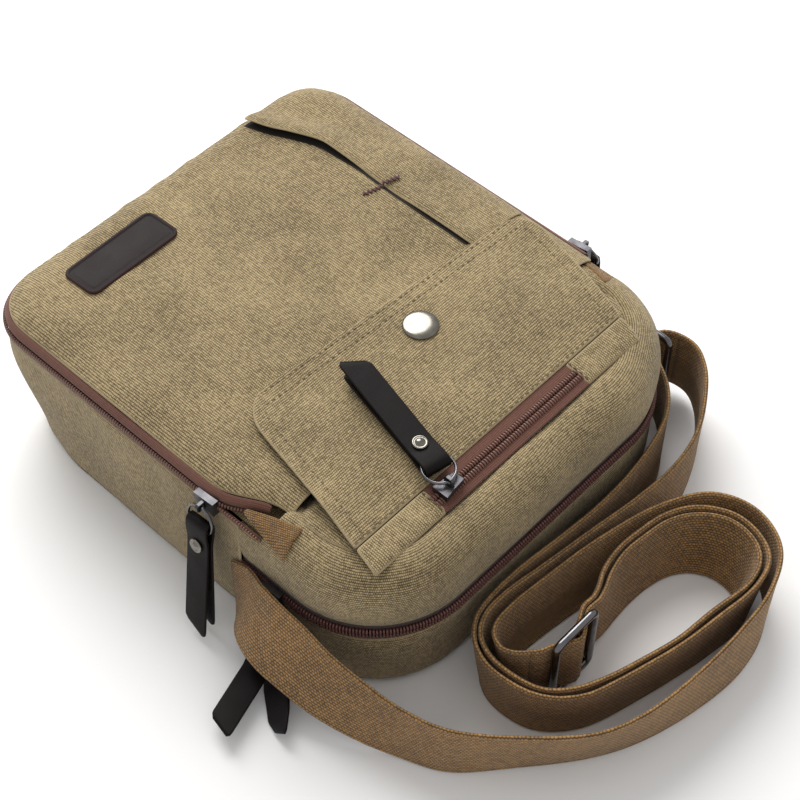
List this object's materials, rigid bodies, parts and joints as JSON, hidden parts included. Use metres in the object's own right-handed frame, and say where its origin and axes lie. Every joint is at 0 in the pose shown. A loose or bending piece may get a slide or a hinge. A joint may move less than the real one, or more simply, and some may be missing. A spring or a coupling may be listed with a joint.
{
  "type": "messenger bag",
  "caption": "Small canvas messenger bag lying on its back, with a flapped front pocket, zips with leather pulls and an adjustable webbing shoulder strap.",
  "frame": {"origin": "on the outside of the back panel, at the middle of the bag body; the bag lies on this face", "axes": "+X towards the bag's right side as seen from the front, +Y towards the bag's top, +Z out of the front face"},
  "size_m": [0.3175, 0.3663, 0.1026],
  "materials": {
    "canvas": "matte",
    "canvas_back": "matte",
    "lining": "matte",
    "brown_tape": "matte",
    "dark_tape": "matte",
    "coil": "satin",
    "pull_leather": "satin",
    "label_leather": "matte",
    "webbing": "matte",
    "gunmetal": "satin",
    "nickel": "satin",
    "bartack_thread": "matte"
  },
  "bodies": {
    "bag": {"back_panel": "canvas_back", "side_gusset": "canvas", "rear_top_gusset": "canvas", "front_top_gusset": "canvas", "front_wall": "canvas_back", "back_lining": "lining", "front_lining": "lining", "inner_pocket": "lining", "main_zip_rear_tape": "dark_tape", "main_zip_front_tape": "dark_tape", "main_zip_rear_coil": "coil", "main_zip_front_coil": "coil", "side_zip_gusset_tape": "brown_tape", "side_zip_gusset_coil": "coil", "side_zip_panel_coil": "coil", "side_zip_panel_tape": "brown_tape", "front_panel": "canvas", "slash_pocket_panel": "canvas", "slash_pocket_bartack": "bartack_thread", "leather_label": "label_leather", "snap_stud": "nickel", "webbing_tab_right": "webbing", "webbing_tab_left": "webbing", "flap_seam_strip": "canvas", "ring_loop": "webbing", "strap_single_run": "webbing", "strap_outer_layer": "webbing", "strap_inner_layer": "webbing", "strap_adjuster": "gunmetal"},
    "flap": {"flap_shell": "canvas", "flap_lining": "canvas_back", "flap_zip_lower_tape": "brown_tape", "flap_zip_upper_tape": "brown_tape", "flap_zip_lower_coil": "coil", "flap_zip_upper_coil": "coil", "snap_cap": "nickel", "snap_socket": "nickel"},
    "flap_slider": {"flap_zip_slider": "gunmetal"},
    "flap_pull": {"flap_zip_ring": "gunmetal", "flap_zip_pull": "pull_leather", "flap_zip_rivet": "nickel"},
    "side_slider_right": {"side_zip_slider_right": "gunmetal"},
    "side_pull_right": {"side_zip_right_ring": "gunmetal", "side_zip_right_pull": "pull_leather", "side_zip_right_rivet": "nickel"},
    "side_slider_left": {"side_zip_slider_left": "gunmetal"},
    "side_pull_left": {"side_zip_left_ring": "gunmetal", "side_zip_left_pull": "pull_leather", "side_zip_left_rivet": "nickel"},
    "main_slider": {"main_zip_slider": "gunmetal", "main_zip_ring": "gunmetal", "main_zip_pull": "pull_leather", "main_zip_rivet": "nickel"},
    "ring": {"strap_ring": "gunmetal"}
  },
  "joints": [
    {"name": "flap_hinge", "type": "hinge", "parent": "bag", "child": "flap", "pos_m": [0, 0.1134, 0.0874], "axis": [-1, 0, 0], "range_deg": [0, 100]},
    {"name": "flap_zip_slide", "type": "slide", "parent": "flap", "child": "flap_slider", "axis": [-1, 0, 0], "range_m": [0, 0.08]},
    {"name": "flap_pull_swing", "type": "hinge", "parent": "flap_slider", "child": "flap_pull", "pos_m": [0.042, 0.1063, 0.093], "axis": [-1, 0, 0], "range_deg": [0, 85]},
    {"name": "side_zip_slide_right", "type": "slide", "parent": "bag", "child": "side_slider_right", "axis": [0, -1, 0], "range_m": [0, 0.11]},
    {"name": "side_pull_swing_right", "type": "hinge", "parent": "side_slider_right", "child": "side_pull_right", "pos_m": [0.1185, 0.028, 0.077], "axis": [0, -1, 0], "range_deg": [-8, 95]},
    {"name": "side_zip_slide_left", "type": "slide", "parent": "bag", "child": "side_slider_left", "axis": [0, -1, 0], "range_m": [0, 0.13]},
    {"name": "side_pull_swing_left", "type": "hinge", "parent": "side_slider_left", "child": "side_pull_left", "pos_m": [-0.1185, 0.052, 0.077], "axis": [0, 1, 0], "range_deg": [-8, 95]},
    {"name": "main_zip_slide", "type": "slide", "parent": "bag", "child": "main_slider", "axis": [0, 1, 0], "range_m": [0, 0.005]},
    {"name": "ring_swing", "type": "hinge", "parent": "bag", "child": "ring", "pos_m": [-0.1188, 0.0846, 0.026], "axis": [0, 0, 1], "range_deg": [-8, 14]}
  ]
}
